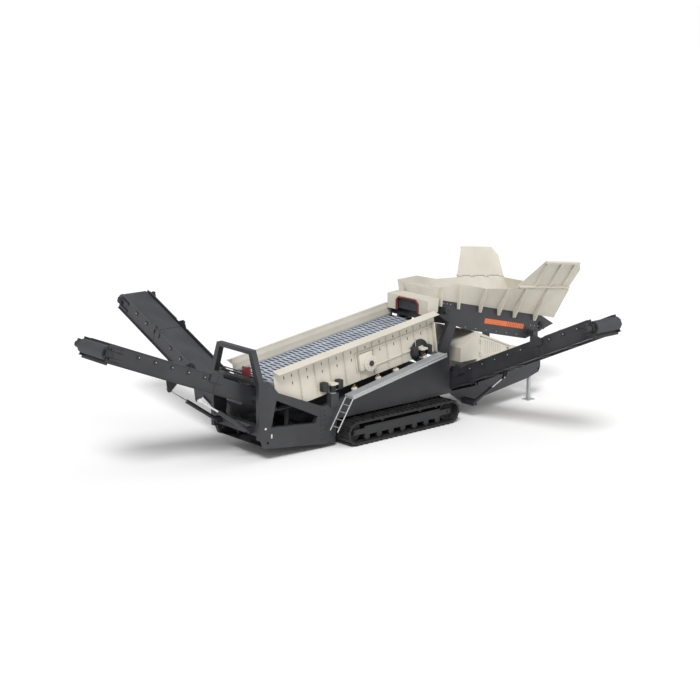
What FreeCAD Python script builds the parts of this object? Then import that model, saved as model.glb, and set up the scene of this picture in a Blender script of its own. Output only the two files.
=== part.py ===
import FreeCAD, Part
import os
from math import cos, degrees, pi, radians, sin, tan

# Tracked mobile screening plant, in millimetres.
# +X points to the feed hopper at the rear, -Y is the side with the lit walkway, +Z is up.
# The ground is z = 0 and the machine's centre plane is y = 0 while the pieces are made.
# At the end everything moves together, so that the box of the whole machine
# has the middle of its underside at the origin.

V = FreeCAD.Vector
X_AXIS = V(1, 0, 0)
Y_AXIS = V(0, 1, 0)
Z_AXIS = V(0, 0, 1)

# Fits
seat = 0.3              # gap between a piece and its seat
pin_clearance = 0.08    # radial clearance of a pin in its bore
plate = 12.0            # common plate thickness

# Tracks
track_length = 3800.0
track_height = 640.0
shoe_width = 500.0
over_tracks = 2690.0
track_mid_x = -150.0
shoe_thickness = 55.0
lug_height = 25.0
lug_width = 40.0
shoe_pitch = 165.0
track_frame_width = 300.0
track_wheel_width = 120.0
roller_radius = 85.0
roller_count = 7
carrier_radius = 55.0
axle_radius = 45.0

# Chassis
side_outer = 970.0           # outer face of the chassis side plates from the centre plane
side_thickness = 120.0
plate_front_x = -2540.0      # seam between the front frame and the chassis side
belly_width = 1500.0
belly_bottom = 330.0
belly_top = 600.0
belly_front_x = -2300.0
belly_rear_x = 1600.0
crossbeam_size = 200.0

# Rear chassis
rear_end_x = 5170.0
rear_horn_top = 1300.0
rear_horn_width = 330.0

# Screen
screen_angle = 8.4
screen_front_x = -3900.0
screen_deck_z = 1820.0       # top deck's surface at its front end
screen_length = 5260.0
screen_inner_half = 800.0
screen_plate = 14.0
screen_wall_above = 330.0    # top of the side wall over the deck
screen_wall_below = 730.0    # depth of the side plate under the deck
screen_front_cut = 520.0     # how far the side plate's front is cut back at its foot
eave_run = 200.0
eave_drop = 60.0
stiffener_pitch = 470.0
deck_thickness = 50.0
lower_deck_drop = 480.0
lower_deck_front = 380.0
cross_tube_radius = 65.0
# distance along the deck and height over it
cross_tubes = ((700, -180), (1700, -180), (screen_length - 1660, -180), (screen_length - 560, -180),
               (1000, -640), (2100, -640), (screen_length - 1960, -640), (screen_length - 760, -640))
spring_along = (1640.0, 4650.0)
spring_up = -500.0
spring_height = 210.0
spring_radius = 80.0
spring_y = 940.0
vibrator_along = 2900.0
vibrator_up = -330.0
vibrator_width = 150.0
vibrator_radius = 200.0

# Walkways
walk_outer = 1345.0
walk_inner = 1040.0
walk_front_x = -1900.0
walk_rear_x = 1260.0
walk_front_z = 1280.0
walk_angle = 10.6
walk_depth = 70.0

# Feeder
feeder_angle = 13.6
feeder_half = 720.0
feeder_front_x = 1480.0
feeder_front_z = 3170.0      # top edge at the front
feeder_length = 4610.0
feeder_depth = 680.0
feeder_wall = 60.0
feeder_drum = 170.0
feeder_belt_thickness = 18.0

# Conveyors
boom_depth = 430.0
boom_plate = 12.0
belt_thickness = 12.0
belt_below_edge = 50.0       # belt surface under the side plates' top edge
drum_radius = 150.0
drum_axle_radius = 32.0
hinge_rise = 70.0            # fold pins over the side plates' top edge
hinge_pin_radius = 22.0
lug_plate = 20.0
lug_side_gap = 1.0           # between the lugs of two stretches
lip_width = 40.0
tie_pitch = 740.0
tie_radius = 24.0
belt_edge_gap = 20.0
tail_incline = 22.5
near_incline = 24.5
far_incline = 24.0
tail_half = 540.0
near_half = 450.0
far_half = 410.0
tail_hinge_x = -5350.0
tail_hinge_z = 2204.0
tail_foot_length = 1650.0
tail_length = 3230.0
near_x = 2250.0
near_hinge_y = -1200.0
near_hinge_z = 1380.0
near_foot_length = 1700.0
near_lower_length = 2960.0
near_length = 4980.0
far_x = -3600.0
far_hinge_y = 1150.0
far_hinge_z = 1125.0
far_foot_length = 900.0
far_lower_length = 3120.0
far_length = 4980.0

# Fines conveyor under the screen
fines_x = -2900.0
fines_z = 850.0
fines_incline = 6.0
fines_half = 560.0
fines_length = 4715.0
fines_depth = 300.0
fines_drum = 95.0
fines_legs = (fines_x + 1100.0, fines_x + fines_length - 615.0)

# Front frame
gantry_x = -4480.0
gantry_depth = 150.0
gantry_half = 680.0
gantry_top = 2700.0
gate_margin = 80.0
gate_low = 480.0
gate_high = 1240.0
gantry_band_low = 1880.0
belly_panel_top = 20.0       # over the side plates' lower edge
crossbeam_x = (-1100.0, 800.0)
cross_members = (
    # x from, x to, half width, z from, z to
    (-2300.0, -2180.0, 850.0, 500.0, 600.0),
    (1480.0, 1600.0, 700.0, 580.0, 710.0),
    (1480.0, 1600.0, 850.0, 700.0, 760.0),
    (3100.0, 3200.0, 850.0, 740.0, 860.0),
    (4050.0, 4150.0, 850.0, 820.0, 940.0),
    (4960.0, 5060.0, 850.0, 900.0, 1000.0),
)
engine_feet = ((3100.0, 850.0), (4050.0, 930.0))
engine_bottom = 1130.0

# Tie-down bores in the side plates, as x and height
front_tie_down = (-4230.0, 470.0)
rear_tie_down = (5095.0, 825.0)
tie_down_radius = 35.0

# Ladder
ladder_rail = 15.0
ladder_rung = 12.0
ladder_steps = 4

# Hopper
hopper_wall = 50.0
hopper_ribs = (1560.0, 2200.0, 3000.0, 3700.0, 4300.0, 5100.0)
rib_width = 40.0
hood_opening = 410.0
hood_front_x = 1110.0
hood_half = 775.0
hood_wall = 30.0
wing_height = 900.0
wing_flare = 30.0
wing_lean = 560.0
wing_thickness = 14.0
wing_hinge_rise = 30.0
wing_ribs = (620.0, 1150.0, 1650.0)
wing_rib_depth = 60.0
wing_rod = 12.0
wing_lugs = (40.0, 700.0, 1300.0, 1940.0)
wing_knuckles = (150.0, 600.0, 1200.0, 1820.0)

# Power pack
pack_half = 850.0
pack_wall = 40.0
door_gap = 8.0
door_head_gap = 5.0          # more room over the door
door_level = 60.0            # length of the level corner over the hinges
louvre_count = 8
louvre_pitch = 80.0
louvre_width = 40.0
engine_half = 400.0

pack_bottom = 1060.0
door_x0 = 2960.0
door_x1 = 4080.0
door_z0 = 1440.0
door_z1 = 2010.0
door_low_z = 1570.0          # top of the door at its low end
door_hinges = (1540.0, 1880.0)
door_hinge_out = 16.0
door_pin = 8.0

# Jack legs
jack_x = 4790.0
jack_y = 910.0
jack_size = 80.0
jack_clearance = 0.3
jack_foot = 260.0
jack_foot_thickness = 20.0

# Lifting cylinders
tail_pin_y = 640.0
tail_base_x = -4560.0
tail_base_z = 780.0
tail_eye_x = -5950.0
tail_eye_z = 1750.0
tail_barrel = 50.0
tail_rod = 25.0
side_barrel = 45.0
side_rod = 25.0
side_eye_along = 1063.0
side_eye_up = -560.0
near_base_y = -1350.0
near_base_z = 430.0
far_base_y = 1350.0
far_base_z = 370.0
eye_radius = 45.0
eye_width = 52.0
eye_pin = 20.0
rod_clearance = 0.3
barrel_share = 0.62
barrel_start = 30.0         # from the pin to the barrel's closed end
tail_lift = 75.0
side_lift = 45.0
fold_angle = 175.0


def box(x0, x1, y0, y1, z0, z1):
    return Part.makeBox(x1 - x0, y1 - y0, z1 - z0, V(x0, y0, z0))


def wire_face(points):
    return Part.Face(Part.makePolygon(points + [points[0]]))


def plate_xz(points, y0, y1):
    """Outline in the XZ plane, extruded along Y."""
    face = wire_face([V(x, y0, z) for x, z in points])
    return face.extrude(V(0, y1 - y0, 0))


def plate_yz(points, x0, x1):
    """Outline in the YZ plane, extruded along X."""
    face = wire_face([V(x0, y, z) for y, z in points])
    return face.extrude(V(x1 - x0, 0, 0))


def rod(start, end, radius):
    along = end - start
    return Part.makeCylinder(radius, along.Length, start, along)


def tube(start, end, radius, bore):
    return rod(start, end, radius).cut(rod(start, end, bore))


def fuse(shapes):
    shapes = list(shapes)
    joined = shapes[0].multiFuse(shapes[1:]) if len(shapes) > 1 else shapes[0]
    return joined.removeSplitter()


def mirror_y(shape):
    return shape.mirror(V(0, 0, 0), Y_AXIS)


def mirrored(shape):
    return [shape, mirror_y(shape)]


pieces = {}


def add(name, *shapes):
    solids = [solid for shape in shapes for solid in shape.Solids]
    pieces[name] = solids[0] if len(solids) == 1 else Part.makeCompound(solids)


# Tracks

def stadium(radius, half_span, z_mid, y0, y1):
    """Loop outline: two half circles joined by straight runs."""
    left = V(-half_span + track_mid_x, y0, z_mid)
    right = V(half_span + track_mid_x, y0, z_mid)
    up = V(0, 0, radius)
    out = V(radius, 0, 0)
    edges = [
        Part.LineSegment(left - up, right - up).toShape(),
        Part.Arc(right - up, right + out, right + up).toShape(),
        Part.LineSegment(right + up, left + up).toShape(),
        Part.Arc(left + up, left - out, left - up).toShape(),
    ]
    return Part.Face(Part.Wire(edges)).extrude(V(0, y1 - y0, 0))


track_radius = track_height / 2 - lug_height
track_half_span = (track_length - track_height) / 2
track_z = track_height / 2
track_y = (over_tracks - shoe_width) / 2
inner_radius = track_radius - shoe_thickness


def track_loop():
    y0 = -track_y - shoe_width / 2
    y1 = y0 + shoe_width
    loop = stadium(track_radius, track_half_span, track_z, y0, y1)
    loop = loop.cut(stadium(inner_radius, track_half_span, track_z, y0, y1))
    straight = 2 * track_half_span
    bend = pi * track_radius
    count = round(2 * (straight + bend) / shoe_pitch / 2) * 2
    step = 2 * (straight + bend) / count
    lugs = []
    for i in range(count):
        s = (i + 0.5) * step
        lug = box(-lug_width / 2, lug_width / 2, y0, y1, -5, lug_height)
        if s < straight:
            turn, x = 0, track_mid_x - track_half_span + s
        elif s < straight + bend:
            turn, x = (s - straight) / track_radius, track_mid_x + track_half_span
        elif s < 2 * straight + bend:
            turn, x = pi, track_mid_x + track_half_span - (s - straight - bend)
        else:
            turn = pi + (s - 2 * straight - bend) / track_radius
            x = track_mid_x - track_half_span
        lug.translate(V(0, 0, track_radius))
        lug.rotate(V(0, 0, 0), Y_AXIS, degrees(turn))
        lug.translate(V(x, 0, track_z))
        lugs.append(lug)
    below = box(track_mid_x - track_length, track_mid_x + track_length, y0 - 1, y1 + 1, -10, 0)
    return fuse([loop] + lugs).cut(below)


def track_frame():
    """Side frame between the track's runs, with its wheels and rollers on axles."""
    wheel_r = inner_radius - seat
    y_mid = -track_y
    y0, y1 = y_mid - track_frame_width / 2, y_mid + track_frame_width / 2
    end_gap = wheel_r + 60
    half = track_half_span - end_gap
    low = track_z - inner_radius + 2 * roller_radius - 40
    high = track_z + inner_radius - 2 * carrier_radius - 10
    frame = box(track_mid_x - half, track_mid_x + half, y0, y1, low, high)
    arm_half = track_half_span + 70
    for side in (y0, y1 - 25):
        frame = frame.fuse(box(track_mid_x - arm_half, track_mid_x + arm_half, side, side + 25,
                               track_z - 70, track_z + 70))
    wheels = []
    for end in (-1, 1):
        x = track_mid_x + end * track_half_span
        hub = V(x, y_mid - track_wheel_width / 2, track_z)
        wheels.append(Part.makeCylinder(wheel_r, track_wheel_width, hub, Y_AXIS))
        wheels.append(rod(V(x, y0 - 20, track_z), V(x, y1 + 20, track_z), axle_radius))
    span = 2 * half - 2 * roller_radius
    z_low = track_z - inner_radius + seat + roller_radius
    for i in range(roller_count):
        x = track_mid_x - span / 2 + span * i / (roller_count - 1)
        wheels.append(rod(V(x, y0, z_low), V(x, y1, z_low), roller_radius))
    z_top = track_z + inner_radius - seat - carrier_radius
    for x in (track_mid_x - half / 2, track_mid_x + half / 2):
        wheels.append(rod(V(x, y0 + 60, z_top), V(x, y1 - 60, z_top), carrier_radius))
    return fuse([frame] + wheels)


# Screen, made level with its deck's front edge at the origin and then tilted

def tilted(shape, angle, x, z):
    shape = shape.copy()
    shape.rotate(V(0, 0, 0), Y_AXIS, angle)
    shape.translate(V(x, 0, z))
    return shape


def tilt_screen(shape):
    return tilted(shape, -screen_angle, screen_front_x, screen_deck_z)


def screen_point(along, y, up):
    a = radians(screen_angle)
    return V(screen_front_x + along * cos(a) - up * sin(a), y,
             screen_deck_z + along * sin(a) + up * cos(a))


def screen_side():
    y0, y1 = -screen_inner_half - screen_plate, -screen_inner_half
    eave_outer = y0 - 15 - eave_run
    ridge = screen_wall_above
    shoulder = ridge - eave_drop - 70
    outline = [(0, shoulder), (0, -150), (screen_front_cut, -screen_wall_below),
               (screen_length - 80, -screen_wall_below), (screen_length, -screen_wall_below + 200),
               (screen_length, shoulder)]
    side = plate_xz(outline, y0, y1)
    eave = plate_yz([(y1, shoulder), (y0 - 15, ridge), (eave_outer, ridge - eave_drop), (y0, shoulder)],
                    0, screen_length)
    ribs = []
    count = int((screen_length - screen_front_cut) // stiffener_pitch)
    for i in range(count):
        x = screen_front_cut + stiffener_pitch * (i + 0.5)
        ribs.append(box(x, x + 14, y0 - 35, y0, -screen_wall_below + 40, shoulder - 60))
    return fuse([side, eave] + ribs)


def spring_points():
    return [screen_point(along, 0, spring_up) for along in spring_along]


def screen_box():
    side = screen_side()
    half = screen_inner_half
    parts = [side, mirror_y(side)]
    for along, up in cross_tubes:
        parts.append(rod(V(along, -half, up), V(along, half, up), cross_tube_radius))
    rear_x = screen_length - 60
    parts.append(box(rear_x, rear_x + screen_plate, -half, half, -500, -deck_thickness - 20))
    whole = tilt_screen(fuse(parts))
    brackets = []
    for p in spring_points():
        outer = -screen_inner_half - screen_plate
        bracket = box(p.x - 110, p.x + 110, -spring_y - spring_radius - 10, outer, p.z + seat, p.z + 45)
        brackets += mirrored(bracket)
    return fuse([whole] + brackets)


def screen_deck(drop, along0, along1):
    half = screen_inner_half - seat
    return tilt_screen(box(along0, along1, -half, half, -deck_thickness - drop, -drop))


def springs():
    solids = []
    for p in spring_points():
        base = V(p.x, -spring_y, p.z - spring_height)
        spring = Part.makeCone(spring_radius * 1.1, spring_radius, spring_height, base, Z_AXIS)
        solids += mirrored(spring)
    return solids


def vibrator_guards():
    p = screen_point(vibrator_along, 0, vibrator_up)
    inner = screen_inner_half + screen_plate + seat
    guard = rod(V(p.x, -inner, p.z), V(p.x, -inner - vibrator_width, p.z), vibrator_radius)
    return mirrored(guard)


# Conveyors, made level with the hinge plane at x = 0 and the side plates' top edge at z = 0,
# running outwards along +X

class Conveyor:
    """Where a conveyor's hinge plane lies, which way it runs and how steep it is."""

    def __init__(self, x, y, z, heading, incline):
        self.place = (x, y, z)
        self.heading = heading
        self.incline = incline

    def put(self, shape):
        shape = shape.copy()
        shape.rotate(V(0, 0, 0), Y_AXIS, -self.incline)
        shape.rotate(V(0, 0, 0), Z_AXIS, self.heading)
        shape.translate(V(*self.place))
        return shape

    def point(self, along, across, up):
        a, h = radians(self.incline), radians(self.heading)
        run = along * cos(a) - up * sin(a)
        return V(self.place[0] + run * cos(h) - across * sin(h),
                 self.place[1] + run * sin(h) + across * cos(h),
                 self.place[2] + along * sin(a) + up * cos(a))


fold_gap = 6.0


def drum_up(radius):
    return -belt_below_edge - belt_thickness - seat - radius


def drum_centre(end, along0, along1, radius):
    if end == "foot":
        return along0 + radius + 20
    return along1 - radius - belt_thickness


def lug_outline(at, way):
    """Hinge lug beside the fold plane, reaching up to the pin. way is -1 inwards, 1 outwards."""
    rise = hinge_rise
    return [(at + way * 200, -160), (at + way * 200, -20), (at + way * 45, rise + 45),
            (at - way * 45, rise + 45), (at - way * 45, rise - 45), (at + way * 10, -10), (at + way * 10, -160)]


def section_frame(half, along0, along1, drums=(), lug_in=False, lug_out=False,
                  depth=boom_depth, radius=drum_radius):
    """Side plates, cross tubes, end drums and hinge lugs of one stretch of conveyor."""
    start = along0 + (0 if "foot" in drums else fold_gap)
    end = along1 - (radius * 0.9 if "head" in drums else fold_gap)
    inner = half - boom_plate
    mid = drum_up(radius)
    side = plate_xz([(start, 0), (start, -depth), (end, -depth), (end, 0)], -half, -inner)
    parts = mirrored(side)
    lip = box(start, end, -half - lip_width, -half, -depth, -depth + boom_plate)
    parts += mirrored(lip)
    centres = [drum_centre(name, along0, along1, radius) for name in drums]
    ties = max(1, int((end - start) // tie_pitch))
    idlers = (mid + radius - tie_radius, mid - radius - 2 * seat - belt_thickness - tie_radius)
    for i in range(ties):
        along = start + (end - start) * (i + 0.5) / ties
        if all(abs(along - centre) > radius + 2 * tie_radius for centre in centres):
            for up in idlers:
                parts.append(rod(V(along, -inner, up), V(along, inner, up), tie_radius))
    for along in centres:
        parts.append(rod(V(along, -half - 60, mid), V(along, half + 60, mid), drum_axle_radius))
        parts.append(rod(V(along, -inner + 10, mid), V(along, inner - 10, mid), radius))
    if lug_out:
        lug = plate_xz(lug_outline(along1, -1), -half - lug_plate, -half)
        parts += mirrored(lug)
        pin = rod(V(along1, -half - 2 * lug_plate - 6, hinge_rise), V(along1, -half, hinge_rise),
                  hinge_pin_radius)
        parts += mirrored(pin)
    if lug_in:
        outer = half + lug_plate + lug_side_gap
        lug = plate_xz(lug_outline(along0, 1), -outer - lug_plate, -outer)
        bore = rod(V(along0, -outer - 2 * lug_plate, hinge_rise), V(along0, -half, hinge_rise),
                   hinge_pin_radius + pin_clearance)
        spacer = box(along0 + 120, along0 + 190, -outer, -half, -150, -40)
        parts += mirrored(lug.cut(bore))
        parts += mirrored(spacer)
    return fuse(parts)


def section_belt(half, along0, along1, drums=(), radius=drum_radius):
    """Belt of one stretch: round its drums, and open where it meets the next stretch."""
    width = half - boom_plate - belt_edge_gap
    inner = radius + seat
    outer = inner + belt_thickness
    mid = drum_up(radius)
    start = drum_centre("foot", along0, along1, radius) if "foot" in drums else along0 + fold_gap
    end = drum_centre("head", along0, along1, radius) if "head" in drums else along1 - fold_gap
    top = box(start, end, -width, width, mid + inner, mid + outer)
    low = box(start, end, -width, width, mid - outer, mid - inner)
    wraps = []
    for name in drums:
        centre = start if name == "foot" else end
        ring = tube(V(centre, -width, mid), V(centre, width, mid), outer, inner)
        reach = -2 * outer if name == "foot" else 2 * outer
        keep = box(min(centre, centre + reach), max(centre, centre + reach), -width, width,
                   mid - 2 * outer, mid + 2 * outer)
        wraps.append(ring.common(keep))
    return fuse([top, low] + wraps).Solids if wraps else [top, low]


def eye_bracket(across0, across1, along, up, foot0, foot1, depth):
    """Plate from the boom's underside to the place of a cylinder's eye."""
    tip = eye_radius + 5
    return plate_xz([(foot0, -depth), (foot1, -depth), (along + tip, up - tip * 0.5), (along + tip * 0.5, up - tip),
                     (along - tip * 0.5, up - tip), (along - tip, up - tip * 0.5)], across0, across1)


# Cylinders, from a pin on the machine to an eye beside a pin on the boom

def cylinder(base, eye, across, radius, rod_radius):
    """Barrel with its eye and the rod with its eye. across is the way the pins run."""
    along = eye - base
    length = along.Length
    along.normalize()
    half = eye_width / 2
    barrel = rod(base + along * barrel_start, base + along * (length * barrel_share), radius)
    ring = rod(base - across * (radius - 1), base + across * (radius - 1), eye_radius)
    hollow = rod(base + along * 90, base + along * (length * barrel_share + 1), rod_radius + rod_clearance)
    bore = rod(base - across * radius * 2, base + across * radius * 2, eye_pin + pin_clearance)
    barrel = fuse([barrel, ring]).cut(hollow).cut(bore)
    piston = rod(base + along * 100, eye - along * (eye_radius * 0.5), rod_radius)
    ring = rod(eye - across * half, eye + across * half, eye_radius)
    return barrel, fuse([piston, ring])


# Front frame and chassis

side_inner = side_outer - side_thickness


def pin_bracket(place, across, radius, depth, toward):
    """Two plates and a pin for a barrel's eye, standing out by depth from a face."""
    gap, thick, tall = radius + seat, 20, 75
    parts = []
    for sign in (-1, 1):
        near_face = place + across * (sign * gap)
        far_face = place + across * (sign * (gap + thick))
        xs = sorted((near_face.x, far_face.x)) if abs(across.x) > 0.5 else sorted(
            (place.x - toward.x * 50, place.x + toward.x * depth))
        ys = sorted((near_face.y, far_face.y)) if abs(across.y) > 0.5 else sorted(
            (place.y - toward.y * 50, place.y + toward.y * depth))
        parts.append(box(xs[0], xs[1], ys[0], ys[1], place.z - tall, place.z + tall))
    reach = gap + thick
    parts.append(rod(place - across * reach, place + across * reach, eye_pin))
    return parts


def tie_down(place):
    """Bore through a side plate for a shackle pin, at an x and a height."""
    x, z = place
    return rod(V(x, -side_outer - 1, z), V(x, -side_inner + 1, z), tie_down_radius)


def front_bottom(x):
    return 340 + (x + 4300) * (130 - 340) / (4300 - 2560)


def front_frame():
    """Side plates, portal round the tail conveyor, gantry bow and belly panel."""
    y0, y1 = -side_outer, -side_inner
    outline = [(-4390, 560), (-4300, 340), (-2560, 130), (plate_front_x, 130), (plate_front_x, 1080),
               (-3900, 1640), (-4180, 1960), (-4390, 1960)]
    window = [(-4130, 830), (-3960, 1470), (-2700, 860), (-2780, 700)]
    side = plate_xz(outline, y0, y1).cut(plate_xz(window, y0 - 1, y1 + 1))
    side = side.cut(tie_down(front_tie_down))
    far_side = mirror_y(side)
    gate = box(far_x - far_half - gate_margin, far_x + far_half + gate_margin, side_inner - 1, side_outer + 1,
               gate_low, gate_high)
    far_side = far_side.cut(gate)
    front, back = gantry_x, gantry_x + gantry_depth
    leg = plate_yz([(y0, 1950), (y0 + 160, 1950), (-gantry_half + 130, gantry_top), (-gantry_half, gantry_top)],
                   front, back)
    parts = [side, far_side, leg, mirror_y(leg)]
    parts.append(box(front, back, -gantry_half, gantry_half, gantry_top - 100, gantry_top))
    parts.append(box(front, back, y0, -y0, gantry_band_low, 1960))
    parts += mirrored(box(front, back, y0, y1, 560, gantry_band_low))
    parts.append(box(front, back, y1, -y1, 660, 900))
    x0, x1 = -4290, plate_front_x
    low, high = belly_panel_top - plate, belly_panel_top
    parts.append(plate_xz([(x0, front_bottom(x0) + low), (x1, front_bottom(x1) + low),
                           (x1, front_bottom(x1) + high), (x0, front_bottom(x0) + high)], y1, -y1))
    for base, eye in tail_pins():
        parts += pin_bracket(base, Y_AXIS, tail_barrel, gantry_x - base.x + 1, X_AXIS)
    base, eye = far_pins()
    parts += pin_bracket(base, X_AXIS, side_barrel, base.y - side_outer + 1, Y_AXIS * -1)
    return fuse(parts)


def chassis_top(x):
    return walk_front_z - walk_depth - 20 + (x - walk_front_x) * tan(radians(walk_angle))


def rear_top(x):
    return 850 + (x - 2800) * (1020 - 850) / (4840 - 2800)


def chassis():
    """Side plates with the rear tail and its horns, belly box, cross members and pads."""
    y0, y1 = -side_outer, -side_inner
    seam = plate_front_x + seat
    horn_x = rear_end_x - rear_horn_width
    outline = [(seam, 120), (-2160, 120), (-2085, 690), (1785, 690), (2310, 310), (4700, 630),
               (rear_end_x - 70, 740), (rear_end_x, 860), (rear_end_x, rear_horn_top - 80),
               (rear_end_x - 80, rear_horn_top), (horn_x, rear_horn_top), (horn_x, 1020), (2800, 850),
               (2760, 740), (1760, 740), (1700, chassis_top(1700)), (seam, chassis_top(seam))]
    side = plate_xz(outline, y0, y1)
    hole = jack_size / 2 + jack_clearance
    side = side.cut(box(jack_x - hole, jack_x + hole, -jack_y - hole, -jack_y + hole, 0, rear_horn_top))
    side = side.cut(tie_down(rear_tie_down))
    parts = mirrored(side)
    parts.append(box(belly_front_x, belly_rear_x, -belly_width / 2, belly_width / 2, belly_bottom, belly_top))
    reach = track_y - track_frame_width / 2 - seat
    for x in crossbeam_x:
        parts.append(box(x - crossbeam_size / 2, x + crossbeam_size / 2, -reach, reach,
                         track_z - crossbeam_size / 2, track_z + crossbeam_size / 2))
    for x0, x1, half, z0, z1 in cross_members:
        parts.append(box(x0, x1, -half, half, z0, z1))
    for x, z in engine_feet:
        parts += mirrored(box(x, x + 100, -engine_half + 20, -engine_half + 120, z, engine_bottom - seat))
    for p in spring_points():
        pad = box(p.x - 120, p.x + 120, -spring_y - spring_radius * 1.1, y1, chassis_top(p.x) - 100,
                  p.z - spring_height - seat)
        parts += mirrored(pad)
    base, eye = near_pins()
    parts += pin_bracket(base, X_AXIS, side_barrel, -side_outer - base.y + 1, Y_AXIS)
    return fuse(parts)


# Walkways with their ladders

def walkway():
    a = radians(walk_angle)
    length = (walk_rear_x - walk_front_x) / cos(a)
    deck = tilted(box(0, length, -walk_outer, -walk_inner, -walk_depth, 0), -walk_angle,
                  walk_front_x, walk_front_z)
    parts = [deck]
    top = V(walk_front_x + 20, 0, walk_front_z - 50)
    low = V(walk_front_x - 480, 0, 470)
    outer, inner = -walk_outer + 15, -walk_inner - 15
    for y in (outer, inner):
        parts.append(rod(V(top.x, y, top.z), V(low.x, y, low.z), ladder_rail))
    for i in range(1, ladder_steps + 1):
        at = top + (low - top) * (i / (ladder_steps + 0.6))
        parts.append(rod(V(at.x, outer, at.z), V(at.x, inner, at.z), ladder_rung))
    for x in (-1500, -300, 900):
        under = walk_front_z - walk_depth + (x - walk_front_x) * tan(a)
        parts.append(plate_yz([(-walk_inner + 20, under + 15), (-side_outer - seat, under + 15),
                               (-side_outer - seat, under - 200), (-walk_inner - 150, under + 15)], x, x + 20))
    return fuse(parts)


# Feeder, made level with its top front corner at the origin and then tilted

def tilt_feeder(shape):
    return tilted(shape, feeder_angle, feeder_front_x, feeder_front_z)


def feeder_top(x):
    return feeder_front_z - (x - feeder_front_x) * tan(radians(feeder_angle))


feeder_drums = ((270.0, -250.0), (feeder_length - 480.0, -260.0))


def feeder_frame():
    y0, y1 = -feeder_half, -feeder_half + feeder_wall
    outline = [(0, 0), (30, -330), (500, -520), (1220, -feeder_depth + 10), (3600, -feeder_depth),
               (feeder_length, -160), (feeder_length - 510, 0)]
    parts = mirrored(plate_xz(outline, y0, y1))
    for along, up in feeder_drums:
        parts.append(rod(V(along, y0 - 60, up), V(along, -y0 + 60, up), 45))
        parts.append(rod(V(along, y1 + 10, up), V(along, -y1 - 10, up), feeder_drum))
    for along in (1000, 2000, 3000):
        parts.append(box(along - 60, along + 60, y1, -y1, -300, -210))
    whole = tilt_feeder(fuse(parts))
    slide = plate_xz([(1140, 2660), (1500, 2790), (1500, 2805), (1135, 2674)], y1, -y1)
    cheek = plate_xz([(1135, 2650), (1500, 2780), (1500, 3000), (1135, 2760)], y1 - 20, y1)
    return fuse([whole, slide] + mirrored(cheek))


def feeder_belt():
    half = feeder_half - feeder_wall - 25
    (x0, z0), (x1, z1) = feeder_drums
    ahead = V(x1 - x0, 0, z1 - z0)
    ahead.normalize()
    up = V(-ahead.z, 0, ahead.x)

    def loop(r):
        a, b = V(x0, -half, z0), V(x1, -half, z1)
        edges = [
            Part.LineSegment(a + up * r, b + up * r).toShape(),
            Part.Arc(b + up * r, b + ahead * r, b - up * r).toShape(),
            Part.LineSegment(b - up * r, a - up * r).toShape(),
            Part.Arc(a - up * r, a - ahead * r, a + up * r).toShape(),
        ]
        return Part.Face(Part.Wire(edges)).extrude(V(0, 2 * half, 0))

    inner = feeder_drum + seat
    return tilt_feeder(loop(inner + feeder_belt_thickness).cut(loop(inner)))


def feeder_legs():
    """Front legs on the chassis sides and rear legs on the horns, bracketed to the feeder's sides."""
    y0, y1 = -side_outer, -side_inner
    parts = []
    feet = [(1300, chassis_top(1300) + seat), (1680, chassis_top(1680) + seat)]
    head_x = (1960, 1660)
    head = [(x, feeder_top(x) - 560) for x in head_x]
    parts.append(plate_xz(feet + head, y0, y1))
    parts.append(box(1680, 1940, y1, -feeder_half, 2230, 2420))
    leg = [fuse(parts)]
    rear_x0, rear_x1 = rear_end_x - rear_horn_width + 20, rear_end_x - 130
    rear = [plate_xz([(rear_x0, rear_horn_top + seat), (rear_x1, rear_horn_top + seat),
                      (rear_x1, 1900), (rear_x0, 1900)], y0, y1),
            box(rear_x0, rear_x1, y1, -feeder_half, 1760, 1880)]
    leg.append(fuse(rear))
    solids = []
    for shape in leg:
        solids += mirrored(shape)
    return solids


# Hopper over the feeder

hopper_stations = (
    # x, rim half width, rim height
    (1500.0, 790.0, 3490.0),
    (2150.0, 800.0, 3510.0),
    (3050.0, 960.0, 3290.0),
    (3980.0, 1140.0, 3200.0),
    (5950.0, 1240.0, 2960.0),
)
hopper_foot = feeder_half - 10


def rim_at(x):
    for (x0, half0, z0), (x1, half1, z1) in zip(hopper_stations, hopper_stations[1:]):
        if x0 <= x <= x1:
            t = (x - x0) / (x1 - x0)
            return half0 + t * (half1 - half0), z0 + t * (z1 - z0)


def wall_section(x, rim_half, rim_z):
    low = feeder_top(x) + seat
    points = [V(x, -hopper_foot, low), V(x, -hopper_foot + hopper_wall, low),
              V(x, -rim_half + hopper_wall, rim_z), V(x, -rim_half, rim_z)]
    return Part.makePolygon(points + [points[0]])


def hopper_rib(x):
    rim_half, rim_z = rim_at(x)
    low = feeder_top(x + rib_width) + seat
    return plate_yz([(-hopper_foot, low + 10), (-rim_half, rim_z - 8), (-rim_half - 60, rim_z - 12),
                     (-feeder_half - 70, low - 160), (-feeder_half - seat, low - 160),
                     (-feeder_half - seat, low + 10)], x, x + rib_width)


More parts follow.
